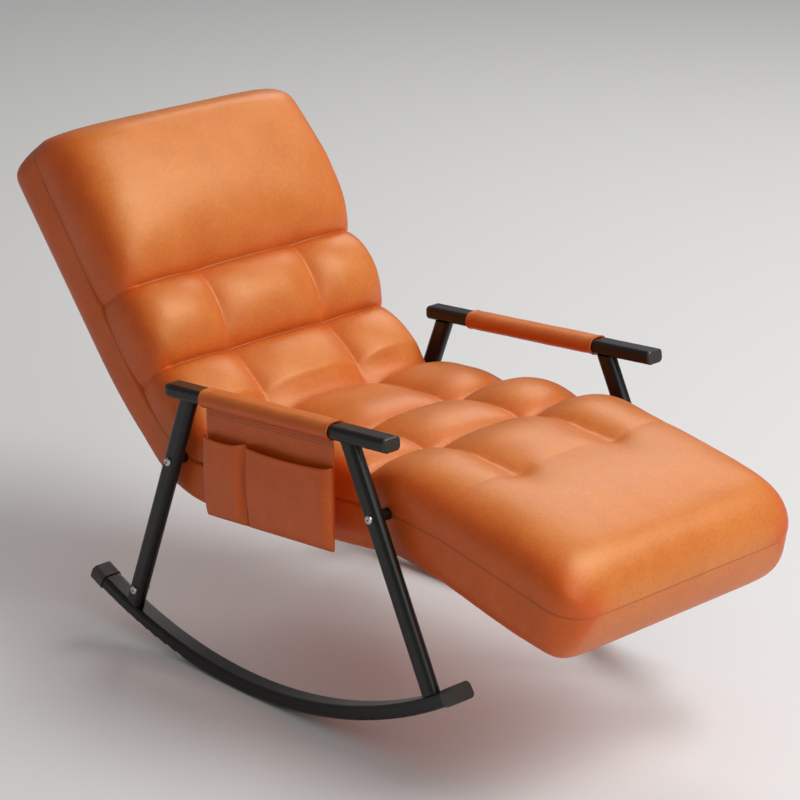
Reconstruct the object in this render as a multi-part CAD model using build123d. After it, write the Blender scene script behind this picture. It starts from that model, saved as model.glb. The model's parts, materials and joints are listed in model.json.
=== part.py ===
from build123d import *
import math
import os

# Reclining rocking chair, millimetres.
# It is drawn level: +Y to the rear, +Z up, -X on the sitter's right, with the floor under the
# middle of the runners at the origin. The last section tips it back to the angle it rests at.

# Side frames: bent runners, slanting legs and armrest bars of painted steel tube
RUNNER_RADIUS = 957.0        # lower edge of the bent runner
RUNNER_SPAN = 926.0          # tip to tip along the floor, without the caps
RUNNER_WIDTH = 38.0
RUNNER_HEIGHT = 25.0
RUNNER_CORNER = 7.0
RUNNER_WALL = 2.5
RUNNER_INSET = 6.0           # runner's middle inside the leg's middle
TUBE_WALL = 1.5
CAP_GRIP = 26.0              # length of tube that a runner cap covers
CAP_WALL = 2.0
CAP_END = 5.0
STOP_DIAMETER = 11.0         # rubber tipping stop under each runner's rear end
STOP_HEIGHT = 9.0
STOP_ROUND = 2.5
STOP_FROM_END = 24.0
ARM_HEIGHT = 518.0           # centre of the armrest bar
ARM_FRONT_OVERHANG = 106.0   # bar beyond the legs' centre lines
ARM_REAR_OVERHANG = 32.0
ARM_WIDTH = 36.0
ARM_DEPTH = 24.0
ARM_CORNER = 8.0
ARM_OUTSET = 6.0             # bar's middle outside the leg's middle
PLUG_GRIP = 22.0
PLUG_FRONT_HEAD = 6.0
PLUG_CHAMFER = 2.0
PLUG_REAR_HEAD = 12.0
PLUG_ROUND = 4.8
LEG_DEPTH = 35.0             # flat oval tube, long side fore and aft
LEG_WIDTH = 22.0
LEG_CLEARANCE = 18.0         # between the cushions' sides and the legs
REAR_LEG_TOP = 150.0         # leg centre line at the height of the armrest bar
REAR_LEG_LEAN = 26.2         # degrees from upright, foot to the rear
FRONT_LEG_TOP = -236.0
FRONT_LEG_LEAN = -21.6
WELD_GAP = 0.1
FIT_GAP = 0.2

# Pivot bolts, which hold the seat between the side frames and carry both hinges
PIVOT_HEIGHT = 385.0
BOLT_DIAMETER = 8.0
BOLT_CLEARANCE = 0.1
BOLT_HEAD_DIAMETER = 15.0
BOLT_HEAD_HEIGHT = 5.0
BOLT_HEAD_ROUND = 3.0
BOLT_PROJECTION = 2.0        # past its nut
SOCKET_ACROSS = 5.0
SOCKET_DEPTH = 3.0
NUT_ACROSS = 13.0
NUT_HEIGHT = 7.0
SPACER_DIAMETER = 20.0
LEG_BOLT_HEIGHT = 32.0       # above the foot of the rear leg, along the leg
SPIGOT_LENGTH = 62.0         # stub on the runner that the rear leg slips over

# Hinged inner frames of square tube
RAIL = 24.0
RAIL_WALL = 1.5
RAIL_DROP = 16.0             # rail centre below the pivot
RAIL_START = 44.0            # from the pivot to the rail's near end
RAIL_END = 70.0              # from the rail's far end to the cushion's
RAIL_INSET = 28.0            # outer face of the seat's rails inside the cushions' sides
CROSS_TUBE = 20.0
PLATE = 4.0
PLATE_GAP = 0.5
HINGE_RADIUS = 25.0
PLATE_START = 12.0           # hinge plate arm along its rail, from the pivot
PLATE_REACH = 66.0
DRUM_RADIUS = 20.0
DRUM_DEPTH = 6.0

# Cushions: a tufted pad over a plain foam base, on the seat, the backrest and the footrest
HALF_WIDTH = 268.0
SEAM_DROP = 2.0              # split between pad and base, below the pivot
PAD_GAP = 0.4
PAD_TRIM = 3.0               # what is trimmed off a pad's underside
CROWN = 96.0                 # top of a tuft above the pivot
VALLEY = 58.0                # bottom of a sewn channel above the pivot
PINCH = 52.0                 # where two channels cross
COLUMN_LINE = 80.0           # channel between two columns, at the middle of a row
COLUMN = 112.0               # channel between two columns, from the middle
CHANNEL_SWELL = 38.0         # how far a shoulder bulges from its chord, in a channel
TUFT_SWELL = 55.0            # the same at the middle of a tuft
PANEL_SHOULDER = 186.0       # smooth head and foot panels: where the shoulder ends
PANEL_EDGE = 88.0
PANEL_CROWN = 97.0
PANEL_SWELL = 23.0
PANEL_PUFF = 1.05            # middle of a smooth panel, against its edges
BASE_CORNER = 26.0
BACK_LOW_ANGLE = 40.0        # slope of the lumbar curve at the hinge
BACK_TOP_ANGLE = 58.5
LUMBAR_RADIUS = 750.0
BACK_LENGTH = 634.0
BACK_LOW_ROW = 4.0           # channels of the backrest, from the pivot
BACK_MIDDLE_ROW = 150.0
BACK_HEAD_ROW = 308.0
BACK_DEPTH = 86.0            # underside below the pivot line, at the hinge
HEAD_DEPTH = 118.0           # the same at the head end
BACK_KNUCKLE = 86.0
SEAT_DEPTH = 92.0
SEAT_FRONT_ROW = 63.0        # first channel of the seat, behind the front pivot
SEAT_REAR_ROW = 65.0         # crease with the backrest, ahead of the rear pivot
SEAT_MIDDLE_SHIFT = -10.0    # channel between them, from the middle
SEAT_LIP = 30.0              # from a pivot to the end of the seat's base
FOOT_ANGLE = 16.0            # slope of the footrest below level
FOOT_DROP = 34.0             # how much further it folds down
FOOT_LENGTH = 408.0
FOOT_DEPTH = 76.0            # underside below the pivot line, at the knee
FOOT_END_DEPTH = 70.0        # the same at the foot end
FOOT_KNUCKLE = 76.0
KNEE_TUFT = 14.0             # middle of the tuft over the knee, from the pivot
FOOT_PINCH = 116.0           # last channel, which fades into the smooth foot panel
KNEE_PINCH = 83.0
KNEE_VALLEY = 93.0
END_ROUND = 62.0
RIM_ROUND = 19.0
RIM_HEIGHT = 0.82
END_HEIGHT = 0.42
END_INSET = 8.0
END_CORNER = 31.0            # lower corner of a base at the head or the foot
KNUCKLE_GAP = 0.6
KNEE_ROOM = 4.0              # base of the footrest below the pad that laps over the knee
CHANNEL_GAP = 0.6

# Armrest sleeves and the side pocket on the sitter's right
SLEEVE_FROM_FRONT = 125.0    # from the ends of the armrest bar
SLEEVE_FROM_REAR = 75.0      # on the side with the pocket
SHORT_SLEEVE_FROM_REAR = 95.0
SLEEVE_WALL = 3.2
SLEEVE_GAP = 0.3
SLEEVE_ROUND = 1.5
POCKET_FRONT_INSET = 1.0     # from the ends of the sleeve
POCKET_REAR_INSET = 5.0
POCKET_DROP = 192.0          # below the sleeve
MOUTH_DROP = 46.0
SMALL_POUCH_WIDTH = 105.0    # the rear pouch; the front one takes the rest
POCKET_SHEET = 3.0
POUCH_DEPTH = 15.0
POUCH_ROUND = 6.0
POCKET_SETBACK = 16.7        # outer face of the back panel, inside the sleeve's outer face

ROCK_BACK = 4.95             # degrees the empty chair leans back at rest

OVERCUT = 1.0                # how far a cutting shape runs past what it cuts
REACH = 1000.0               # half size of a cutting shape that is meant to take all

os.makedirs("parts", exist_ok=True)
leg_middle = HALF_WIDTH + LEG_CLEARANCE + LEG_WIDTH / 2
leg_outer = leg_middle + LEG_WIDTH / 2
leg_inner = leg_middle - LEG_WIDTH / 2
centre = (0, 0, RUNNER_RADIUS)
REST = Pos(*centre) * Rot(-ROCK_BACK, 0, 0) * Pos(0, 0, -RUNNER_RADIUS)


def save(name, shape):
    export_step(REST * shape, f"parts/{name}.step")


def save_pair(name, shape):
    """Save the piece drawn on the sitter's left and its mirror image on the right."""
    save(f"{name}_left", shape)
    save(f"{name}_right", mirror(shape, about=Plane.YZ))


def both_sides(*shapes):
    return Compound(children=[*shapes, *(mirror(s, about=Plane.YZ) for s in shapes)])


def side_plate(face, x0, x1):
    """A flat outline in the side view, made solid between two stations across the chair."""
    return Pos(x0, 0, 0) * extrude(face, amount=x1 - x0, dir=(1, 0, 0))


def side_face(*edges):
    return Face(Wire(list(edges)))


def cross_cylinder(y, z, radius, x0, x1):
    disc = Pos(x0, y, z) * Rot(0, 90, 0) * Circle(radius)
    return extrude(disc, amount=x1 - x0, dir=(1, 0, 0))


def ring(y, z, outer, inner, x0, x1):
    return cross_cylinder(y, z, outer, x0, x1) - cross_cylinder(y, z, inner, x0 - OVERCUT, x1 + OVERCUT)


def cross_hexagon(y, z, across, x0, x1):
    outline = Pos(x0, y, z) * Rot(0, 90, 0) * RegularPolygon(across / 2, 6, major_radius=False)
    return extrude(outline, amount=x1 - x0, dir=(1, 0, 0))


# Runners, with their caps and tipping stops
half_sweep = math.degrees(math.asin(RUNNER_SPAN / 2 / RUNNER_RADIUS))
runner_axis = Axis(centre, (1, 0, 0))
runner_middle = leg_middle - RUNNER_INSET


def runner_sector(grow, start, sweep):
    """A stretch of the runner's section turned about the centre of the rocking curve."""
    section = Plane.XZ * Pos(runner_middle, RUNNER_HEIGHT / 2) * RectangleRounded(
        RUNNER_WIDTH + 2 * grow, RUNNER_HEIGHT + 2 * grow, RUNNER_CORNER + grow)
    turned = Pos(*centre) * Rot(start, 0, 0) * Pos(0, 0, -RUNNER_RADIUS) * section
    return revolve(turned, axis=runner_axis, revolution_arc=sweep)


def runner_angle(length):
    return math.degrees(length / RUNNER_RADIUS)


bore_sweep = half_sweep + runner_angle(OVERCUT)
runner_tube = runner_sector(0, -half_sweep, 2 * half_sweep) - runner_sector(
    -RUNNER_WALL, -bore_sweep, 2 * bore_sweep)

cap_sweep = runner_angle(CAP_GRIP)
cap_end = runner_angle(CAP_END)
fit_sweep = runner_angle(FIT_GAP)
for name, first, recess in (
        ("rear", half_sweep - cap_sweep, half_sweep - 2 * cap_sweep),
        ("front", -half_sweep - cap_end, -half_sweep - fit_sweep)):
    body = runner_sector(CAP_WALL, first, cap_sweep + cap_end)
    save_pair(f"runner_cap_{name}", body - runner_sector(FIT_GAP, recess, 2 * cap_sweep + fit_sweep))

stop_angle = half_sweep - cap_sweep - runner_angle(STOP_FROM_END)
stop = Pos(runner_middle, 0, -STOP_HEIGHT) * extrude(
    Circle(STOP_DIAMETER / 2), amount=STOP_HEIGHT + RUNNER_CORNER)
stop = fillet(stop.edges().sort_by(Axis.Z)[0], STOP_ROUND)
stop = Pos(*centre) * Rot(stop_angle, 0, 0) * Pos(0, 0, -RUNNER_RADIUS) * stop
save_pair("tipping_stop", stop - runner_sector(WELD_GAP, 0, half_sweep))


# Legs: flat oval tube, coped to the runner below and cut off under the armrest bar
def leg_axis(top, lean):
    """The leg's centre line, from its crossing with the armrest bar down to the floor."""
    slope = math.tan(math.radians(lean))
    return Vector(leg_middle, top, ARM_HEIGHT), Vector(leg_middle, top + slope * ARM_HEIGHT, 0)


def leg_stick(top, lean, shrink):
    start, end = leg_axis(top, lean)
    along = (end - start).normalized()
    plane = Plane(origin=start, x_dir=along.cross(Vector(1, 0, 0)), z_dir=along)
    oval = SlotOverall(LEG_DEPTH - 2 * shrink, LEG_WIDTH - 2 * shrink)
    return extrude(plane * oval, amount=(end - start).length)


def leg_y(top, lean, height):
    return top + math.tan(math.radians(lean)) * (ARM_HEIGHT - height)


rear_pivot = leg_y(REAR_LEG_TOP, REAR_LEG_LEAN, PIVOT_HEIGHT)
front_pivot = leg_y(FRONT_LEG_TOP, FRONT_LEG_LEAN, PIVOT_HEIGHT)
bolt_hole = BOLT_DIAMETER / 2 + BOLT_CLEARANCE

arm_underside = ARM_HEIGHT - ARM_DEPTH / 2 - WELD_GAP
above_arm = Pos(0, 0, arm_underside + REACH) * Box(2 * REACH, 2 * REACH, 2 * REACH)
runner_top = RUNNER_RADIUS - RUNNER_HEIGHT
below_runner = cross_cylinder(0, RUNNER_RADIUS, 2 * RUNNER_RADIUS, 0, REACH) - cross_cylinder(
    0, RUNNER_RADIUS, runner_top - WELD_GAP, -OVERCUT, REACH + OVERCUT)


def leg_hole(y, z):
    return cross_cylinder(y, z, bolt_hole, leg_inner - OVERCUT, leg_outer + OVERCUT)


legs = {}
for name, top, lean, pivot in (("rear", REAR_LEG_TOP, REAR_LEG_LEAN, rear_pivot),
                               ("front", FRONT_LEG_TOP, FRONT_LEG_LEAN, front_pivot)):
    tube = leg_stick(top, lean, 0) - leg_stick(top, lean, TUBE_WALL)
    legs[name] = tube - above_arm - below_runner - leg_hole(pivot, PIVOT_HEIGHT)

# The rear leg slips over a stub on the runner, with a bolt through both
leg_top, leg_floor = leg_axis(REAR_LEG_TOP, REAR_LEG_LEAN)
up_leg = (leg_top - leg_floor).normalized()
to_centre = Vector(leg_middle, 0, RUNNER_RADIUS) - leg_floor
across_leg = to_centre.cross(up_leg).length
leg_foot = leg_floor + up_leg * (to_centre.dot(up_leg) - math.sqrt(runner_top ** 2 - across_leg ** 2))
leg_bolt = leg_foot + up_leg * LEG_BOLT_HEIGHT
stub = leg_stick(REAR_LEG_TOP, REAR_LEG_LEAN, TUBE_WALL + FIT_GAP) - leg_stick(
    REAR_LEG_TOP, REAR_LEG_LEAN, 2 * TUBE_WALL + FIT_GAP)
stub_top = Plane(origin=leg_foot + up_leg * SPIGOT_LENGTH, z_dir=up_leg)
stub = split(stub, bisect_by=stub_top, keep=Keep.BOTTOM) - below_runner
leg_bolt_hole = leg_hole(leg_bolt.Y, leg_bolt.Z)
legs["rear"] -= leg_bolt_hole
save_pair("runner_stub", stub - leg_bolt_hole)
save_pair("runner", runner_tube)
for name, leg in legs.items():
    save_pair(f"{name}_leg", leg)


# Armrest bars with their end plugs
arm_middle = leg_middle + ARM_OUTSET
arm_front = FRONT_LEG_TOP - ARM_FRONT_OVERHANG
arm_rear = REAR_LEG_TOP + ARM_REAR_OVERHANG


def arm_section(grow):
    return RectangleRounded(ARM_WIDTH + 2 * grow, ARM_DEPTH + 2 * grow, ARM_CORNER + grow)


def arm_bar(grow, y0, y1):
    place = Pos(arm_middle, y0, ARM_HEIGHT) * Rot(-90, 0, 0)
    return place * extrude(arm_section(grow), amount=y1 - y0)


arm_bore = arm_bar(-TUBE_WALL, arm_front - OVERCUT, arm_rear + OVERCUT)
save_pair("armrest_bar", arm_bar(0, arm_front, arm_rear) - arm_bore)

front_plug = arm_bar(0, arm_front - PLUG_FRONT_HEAD, arm_front - WELD_GAP)
front_plug = chamfer(front_plug.faces().sort_by(Axis.Y)[0].edges(), PLUG_CHAMFER)
front_plug += arm_bar(-TUBE_WALL - FIT_GAP, arm_front - OVERCUT, arm_front + PLUG_GRIP)
save_pair("armrest_plug_front", front_plug)

rear_plug = arm_bar(0, arm_rear + WELD_GAP, arm_rear + PLUG_REAR_HEAD)
rear_plug = fillet(rear_plug.faces().sort_by(Axis.Y)[-1].edges(), PLUG_ROUND)
rear_plug += arm_bar(-TUBE_WALL - FIT_GAP, arm_rear - PLUG_GRIP, arm_rear + OVERCUT)
save_pair("armrest_plug_rear", rear_plug)

sleeve_front = arm_front + SLEEVE_FROM_FRONT
sleeve_rear = arm_rear - SLEEVE_FROM_REAR


def sleeve(rear):
    solid = arm_bar(SLEEVE_GAP + SLEEVE_WALL, sleeve_front, rear)
    ends = solid.faces().sort_by(Axis.Y)
    solid = fillet(ends[0].edges() + ends[-1].edges(), SLEEVE_ROUND)
    return solid - arm_bar(SLEEVE_GAP, sleeve_front - OVERCUT, rear + OVERCUT)


save("armrest_sleeve_left", sleeve(arm_rear - SHORT_SLEEVE_FROM_REAR))
save("armrest_sleeve_right", mirror(sleeve(sleeve_rear), about=Plane.YZ))

# Side pocket, hanging plumb from the right sleeve when the chair is at rest
sleeve_outer = arm_middle + ARM_WIDTH / 2 + SLEEVE_GAP + SLEEVE_WALL
sleeve_under = ARM_HEIGHT - ARM_DEPTH / 2 - SLEEVE_GAP - SLEEVE_WALL
plumb = math.tan(math.radians(ROCK_BACK))


def pocket_sheet(y0, y1, z0, z1, x0, x1):
    """An upright sheet, leaning in the level drawing so that it hangs plumb at rest."""
    corners = [(0, y + plumb * (sleeve_under - z), z)
               for y, z in ((y0, z0), (y1, z0), (y1, z1), (y0, z1))]
    return side_plate(make_face(Polyline(*corners, close=True)), -x1, -x0)


pocket_front = sleeve_front + POCKET_FRONT_INSET
pocket_rear = sleeve_rear - POCKET_REAR_INSET
pocket_bottom = sleeve_under - POCKET_DROP
pocket_mouth = sleeve_under - MOUTH_DROP
pocket_divider = pocket_rear - SMALL_POUCH_WIDTH
panel_outer = sleeve_outer - POCKET_SETBACK
panel_inner = panel_outer - POCKET_SHEET
save("pocket_back_panel", pocket_sheet(pocket_front, pocket_rear, pocket_bottom, sleeve_under - FIT_GAP,
                                       panel_inner, panel_outer))
pouch_outer = panel_outer + POUCH_DEPTH + POCKET_SHEET
for name, y0, y1 in (("pocket_large_pouch", pocket_front, pocket_divider - FIT_GAP),
                     ("pocket_small_pouch", pocket_divider + FIT_GAP, pocket_rear)):
    block = pocket_sheet(y0, y1, pocket_bottom, pocket_mouth, panel_outer + WELD_GAP, pouch_outer)
    block = fillet(block.faces().sort_by(Axis.X)[0].edges(), POUCH_ROUND)
    block -= pocket_sheet(y0 + POCKET_SHEET, y1 - POCKET_SHEET, pocket_bottom + POCKET_SHEET,
                          sleeve_under, panel_inner, pouch_outer - POCKET_SHEET)
    save(name, block)

# Pivot bolts, nuts and spacers: four of each, and the two bolts through the runner stubs
seat_rail_outer = HALF_WIDTH - RAIL_INSET
inner_plate = (seat_rail_outer, seat_rail_outer + PLATE)
outer_plate = (inner_plate[1] + PLATE_GAP, inner_plate[1] + PLATE_GAP + PLATE)
swing_rail_outer = outer_plate[0]
nut_outer = seat_rail_outer - DRUM_DEPTH - WELD_GAP


def bolt(y, z, shaft_end):
    head = cross_cylinder(y, z, BOLT_HEAD_DIAMETER / 2, leg_outer, leg_outer + BOLT_HEAD_HEIGHT)
    head = fillet(head.edges().sort_by(Axis.X)[-1], BOLT_HEAD_ROUND)
    socket = cross_hexagon(y, z, SOCKET_ACROSS, leg_outer + BOLT_HEAD_HEIGHT - SOCKET_DEPTH,
                           leg_outer + BOLT_HEAD_HEIGHT + OVERCUT)
    return head + cross_cylinder(y, z, BOLT_DIAMETER / 2, shaft_end, leg_outer) - socket


def nut(y, z, outer):
    blank = cross_hexagon(y, z, NUT_ACROSS, outer - NUT_HEIGHT, outer)
    return blank - cross_cylinder(y, z, bolt_hole, outer - NUT_HEIGHT - OVERCUT, outer + OVERCUT)


pivots = ((rear_pivot, PIVOT_HEIGHT), (front_pivot, PIVOT_HEIGHT))
bolt_end = nut_outer - NUT_HEIGHT - BOLT_PROJECTION
save("pivot_bolts", both_sides(*(bolt(y, z, bolt_end) for y, z in pivots)))
save("pivot_nuts", both_sides(*(nut(y, z, nut_outer) for y, z in pivots)))
spacers = (ring(y, z, SPACER_DIAMETER / 2, bolt_hole, outer_plate[1] + FIT_GAP, leg_inner - FIT_GAP)
           for y, z in pivots)
save("pivot_spacers", both_sides(*spacers))
leg_bolt_end = leg_inner - NUT_HEIGHT - BOLT_PROJECTION
save("leg_bolts", both_sides(bolt(leg_bolt.Y, leg_bolt.Z, leg_bolt_end)))
save("leg_nuts", both_sides(nut(leg_bolt.Y, leg_bolt.Z, leg_inner - WELD_GAP)))


# Lines that the three cushions and their frames follow, through the pivots
class SideLine:
    """A path in the side view from a pivot: s along it, n above it."""

    def __init__(self, y, heading, turn_radius=0.0, turn=0.0):
        self.y = y
        self.heading = math.radians(heading)
        self.turn_radius = turn_radius
        self.turn_length = turn_radius * math.radians(turn)
        self.up = -1 if math.cos(self.heading) < 0 else 1

    def bent(self, s):
        return min(max(s, 0), self.turn_length)

    def angle(self, s):
        return self.heading + (self.bent(s) / self.turn_radius if self.turn_radius else 0)

    def along(self, s):
        return Vector(0, math.cos(self.angle(s)), math.sin(self.angle(s)))

    def above(self, s):
        return Vector(0, -math.sin(self.angle(s)), math.cos(self.angle(s))) * self.up

    def point(self, s, n):
        spot = Vector(0, self.y, PIVOT_HEIGHT)
        if self.bent(s):
            half_turn = self.bent(s) / self.turn_radius / 2
            chord = 2 * self.turn_radius * math.sin(half_turn)
            spot += Vector(0, math.cos(self.heading + half_turn), math.sin(self.heading + half_turn)) * chord
        return spot + self.along(s) * (s - self.bent(s)) + self.above(s) * n

    def station(self, s):
        """The plane across the path at s, with local x across the chair and local y upwards."""
        return Plane(origin=self.point(s, 0), x_dir=(1, 0, 0), z_dir=self.along(s) * -self.up)

    def run(self, s0, s1, n0, n1):
        """Edges beside the path: an arc round its turn and straight lines before and after."""
        knots = [s0] + [k for k in (0, self.turn_length) if self.turn_length and s0 < k < s1] + [s1]
        edges = []
        for a, b in zip(knots, knots[1:]):
            na, nb = (n0 + (n1 - n0) * (k - s0) / (s1 - s0) for k in (a, b))
            if self.bent(a) < self.bent(b):
                middle = self.point((a + b) / 2, (na + nb) / 2)
                edges.append(ThreePointArc(self.point(a, na), middle, self.point(b, nb)))
            else:
                edges.append(Line(self.point(a, na), self.point(b, nb)))
        return edges

    def strip(self, s0, s1, low, high, low_end=None):
        """The strip between two lines beside the path; the lower one may taper."""
        low_end = low if low_end is None else low_end
        return side_face(*self.run(s0, s1, low, low_end), *self.run(s0, s1, high, high),
                         Line(self.point(s0, low), self.point(s0, high)),
                         Line(self.point(s1, low_end), self.point(s1, high)))


back_line = SideLine(rear_pivot, BACK_LOW_ANGLE, LUMBAR_RADIUS, BACK_TOP_ANGLE - BACK_LOW_ANGLE)
seat_line = SideLine(0, 0)
foot_line = SideLine(front_pivot, 180 + FOOT_ANGLE)
rail_top = -RAIL_DROP + RAIL / 2
rail_bottom = -RAIL_DROP - RAIL / 2


# Inner frames: two square rails and round cross tubes, with a hinge plate at each pivot
def frame_rail(line, s0, s1, outer):
    shell = side_plate(line.strip(s0, s1, rail_bottom, rail_top), outer - RAIL, outer)
    bore = side_plate(line.strip(s0 - OVERCUT, s1 + OVERCUT, rail_bottom + RAIL_WALL,
                                 rail_top - RAIL_WALL),
                      outer - RAIL + RAIL_WALL, outer - RAIL_WALL)
    return shell - bore


def cross_tube(line, s, half_length):
    middle = line.point(s, -RAIL_DROP)
    return ring(middle.Y, middle.Z, CROSS_TUBE / 2, CROSS_TUBE / 2 - RAIL_WALL, -half_length, half_length)


def tube_frame(line, s0, s1, outer, crossings):
    rail = frame_rail(line, s0, s1, outer)
    solid = rail + mirror(rail, about=Plane.YZ)
    for s in crossings:
        solid += cross_tube(line, s, outer - RAIL)
    return solid


back_rail_end = BACK_LENGTH - RAIL_END
foot_rail_end = FOOT_LENGTH - RAIL_END
seat_rail = (front_pivot + RAIL_START, rear_pivot - RAIL_START)
back_crossings = (BACK_KNUCKLE + CROSS_TUBE, back_rail_end / 2, back_rail_end - CROSS_TUBE)
foot_crossings = (FOOT_KNUCKLE + CROSS_TUBE, foot_rail_end - CROSS_TUBE)
seat_crossings = (front_pivot + FOOT_KNUCKLE + CROSS_TUBE, rear_pivot - BACK_KNUCKLE - CROSS_TUBE)
save("back_frame", tube_frame(back_line, RAIL_START, back_rail_end, swing_rail_outer, back_crossings))
save("foot_frame", tube_frame(foot_line, RAIL_START, foot_rail_end, swing_rail_outer, foot_crossings))
save("seat_frame", tube_frame(seat_line, *seat_rail, seat_rail_outer, seat_crossings))


def hinge_plate(line, s0, s1, y, x0, x1):
    """A stamped plate: a round eye on the pivot and an arm along the rail."""
    eye = ring(y, PIVOT_HEIGHT, HINGE_RADIUS, bolt_hole, x0, x1)
    return eye + side_plate(line.strip(s0, s1, rail_bottom + RAIL_WALL, rail_top), x0, x1)


for name, y, reach in (("back", rear_pivot, (rear_pivot - PLATE_REACH, rear_pivot - PLATE_START)),
                       ("foot", front_pivot, (front_pivot + PLATE_START, front_pivot + PLATE_REACH))):
    drum = ring(y, PIVOT_HEIGHT, DRUM_RADIUS, bolt_hole, inner_plate[0] - DRUM_DEPTH, inner_plate[0])
    save_pair(f"{name}_hinge_drum", hinge_plate(seat_line, *reach, y, *inner_plate) + drum)
for name, line in (("back", back_line), ("foot", foot_line)):
    save_pair(f"{name}_hinge_plate", hinge_plate(line, PLATE_START, PLATE_REACH, line.y, *outer_plate))


# Cushion pads: rows of tufts, lofted from one sewn channel to the next
def pad_section(line, s, half, column, edge, crown, swell):
    """Section across a pad: two shoulder arcs from the seam to the column channels, one between."""
    base = -SEAM_DROP - PAD_TRIM
    rise = edge - base
    reach = half - column
    chord = math.hypot(reach, rise)
    out = ((half + column) / 2 + swell * rise / chord, (base + edge) / 2 + swell * reach / chord)
    outline = Wire([
        Line((half, base), (-half, base)),
        ThreePointArc((-half, base), (-out[0], out[1]), (-column, edge)),
        ThreePointArc((-column, edge), (0, crown), (column, edge)),
        ThreePointArc((column, edge), out, (half, base))])
    return line.station(s) * Face(outline)


def channel(line, s):
    return pad_section(line, s, HALF_WIDTH, COLUMN, PINCH, VALLEY, CHANNEL_SWELL)


def tuft(line, s):
    return pad_section(line, s, HALF_WIDTH, COLUMN, COLUMN_LINE, CROWN, TUFT_SWELL)


def panel(line, s, height=1.0, inset=0.0):
    """A smooth section without columns, lowered and drawn in towards the cushion's end."""
    return pad_section(line, s, HALF_WIDTH - inset, PANEL_SHOULDER - inset, PANEL_EDGE * height,
                       PANEL_CROWN * height, PANEL_SWELL * height)


def row(line, s0, s1):
    return loft([channel(line, s0), tuft(line, (s0 + s1) / 2), channel(line, s1)])


def end_panel(line, first, s0, end):
    """The smooth panel that ends a cushion, from its last channel to its rounded rim."""
    rise = s0 + END_ROUND
    return loft([first, panel(line, rise), panel(line, (rise + end - END_ROUND) / 2, PANEL_PUFF),
                 panel(line, end - END_ROUND), panel(line, end - RIM_ROUND, RIM_HEIGHT),
                 panel(line, end, END_HEIGHT, END_INSET)])


def above_seam(line, s0, s1):
    return side_plate(line.strip(s0, s1, PAD_GAP - SEAM_DROP, 2 * CROWN), -REACH, REACH)


def turning_region(line, radius, length):
    """What turns with a hinge: all beyond its pivot, and the round knuckle about it."""
    beyond = side_plate(line.strip(0, 2 * length, -2 * radius, 2 * radius), -REACH, REACH)
    return beyond + cross_cylinder(line.y, PIVOT_HEIGHT, radius, -REACH, REACH)


def knuckle_room(y, radius):
    """The hollow in the seat's cushion in which a knuckle turns."""
    return cross_cylinder(y, PIVOT_HEIGHT, radius + KNUCKLE_GAP, -REACH, REACH)


def fold_room():
    """The hollow that the footrest's base turns into when it is folded right down."""
    folded = SideLine(front_pivot, 180 + FOOT_ANGLE + FOOT_DROP)
    return side_plate(folded.strip(0, FOOT_LENGTH, -FOOT_DEPTH - 2 * KNUCKLE_GAP, 0), -REACH, REACH)


bay_inner = seat_rail_outer - RAIL - CHANNEL_GAP
bay_outer = outer_plate[1] + CHANNEL_GAP


def hinge_bays(y, radius):
    """Pockets inside a cushion's two sides for the hinge plates, with holes for the spacers."""
    bay = cross_cylinder(y, PIVOT_HEIGHT, radius + KNUCKLE_GAP, bay_inner, bay_outer)
    bay += cross_cylinder(y, PIVOT_HEIGHT, SPACER_DIAMETER / 2 + KNUCKLE_GAP, bay_inner, REACH)
    return bay + mirror(bay, about=Plane.YZ)


back_bays = hinge_bays(rear_pivot, BACK_KNUCKLE)
foot_bays = hinge_bays(front_pivot, FOOT_KNUCKLE)
back_room = knuckle_room(rear_pivot, BACK_KNUCKLE)
foot_room = knuckle_room(front_pivot, FOOT_KNUCKLE)

back_pad = loft([channel(back_line, -BACK_KNUCKLE), channel(back_line, BACK_LOW_ROW)])
back_pad += row(back_line, BACK_LOW_ROW, BACK_MIDDLE_ROW)
back_pad += row(back_line, BACK_MIDDLE_ROW, BACK_HEAD_ROW)
back_pad += end_panel(back_line, channel(back_line, BACK_HEAD_ROW), BACK_HEAD_ROW, BACK_LENGTH)
back_pad = back_pad & turning_region(back_line, BACK_KNUCKLE, BACK_LENGTH)
back_pad = back_pad & above_seam(back_line, -2 * BACK_KNUCKLE, 2 * BACK_LENGTH)
save("back_pad", back_pad - back_bays)

seat_front = front_pivot + SEAT_FRONT_ROW
seat_rear = rear_pivot - SEAT_REAR_ROW
seat_middle = (seat_front + seat_rear) / 2 + SEAT_MIDDLE_SHIFT
seat_pad = row(seat_line, seat_front, seat_middle) + row(seat_line, seat_middle, seat_rear)
seat_pad = seat_pad & above_seam(seat_line, front_pivot, rear_pivot)
save("seat_pad", seat_pad - back_room - foot_room)

knee_channel = pad_section(foot_line, FOOT_PINCH, HALF_WIDTH, COLUMN, KNEE_PINCH, KNEE_VALLEY,
                           TUFT_SWELL)
foot_pad = loft([channel(seat_line, seat_front), tuft(foot_line, KNEE_TUFT), knee_channel])
foot_pad += end_panel(foot_line, knee_channel, FOOT_PINCH, FOOT_LENGTH)
foot_pad = foot_pad & turning_region(foot_line, FOOT_KNUCKLE, FOOT_LENGTH)
knee_lap = above_seam(seat_line, front_pivot - 2 * CROWN, rear_pivot)
foot_pad = foot_pad & (above_seam(foot_line, 0, 2 * FOOT_LENGTH) + knee_lap)
save("foot_pad", foot_pad - foot_bays)


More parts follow.
